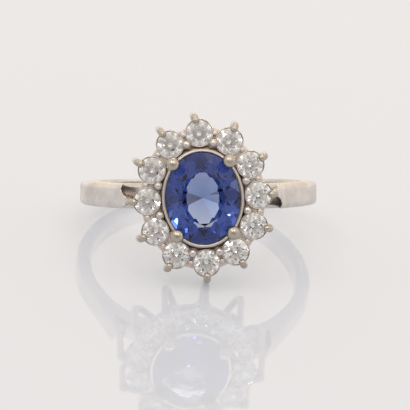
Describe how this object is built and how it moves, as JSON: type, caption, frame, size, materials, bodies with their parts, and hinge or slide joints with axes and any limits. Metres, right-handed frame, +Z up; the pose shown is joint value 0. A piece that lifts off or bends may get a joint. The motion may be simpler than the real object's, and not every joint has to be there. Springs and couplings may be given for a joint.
{
  "type": "sapphire and diamond ring",
  "caption": "Cluster ring with an oval faceted sapphire in claws, a halo of round brilliant diamonds on wire claws, and a plain polished shank.",
  "frame": {"origin": "on the table under the middle of the ring's bounding box, the ring lying on its side", "axes": "+X to the viewer's right, +Y away from the cluster's face toward the back of the shank, +Z up from the table"},
  "size_m": [0.02, 0.0243, 0.0141],
  "materials": {
    "white_gold": "polished",
    "sapphire": "polished",
    "diamond": "polished"
  },
  "bodies": {
    "root": {"ring_mount": "white_gold", "sapphire": "sapphire", "diamond_01": "diamond", "diamond_02": "diamond", "diamond_03": "diamond", "diamond_04": "diamond", "diamond_05": "diamond", "diamond_06": "diamond", "diamond_07": "diamond", "diamond_08": "diamond", "diamond_09": "diamond", "diamond_10": "diamond", "diamond_11": "diamond", "diamond_12": "diamond"}
  },
  "joints": []
}
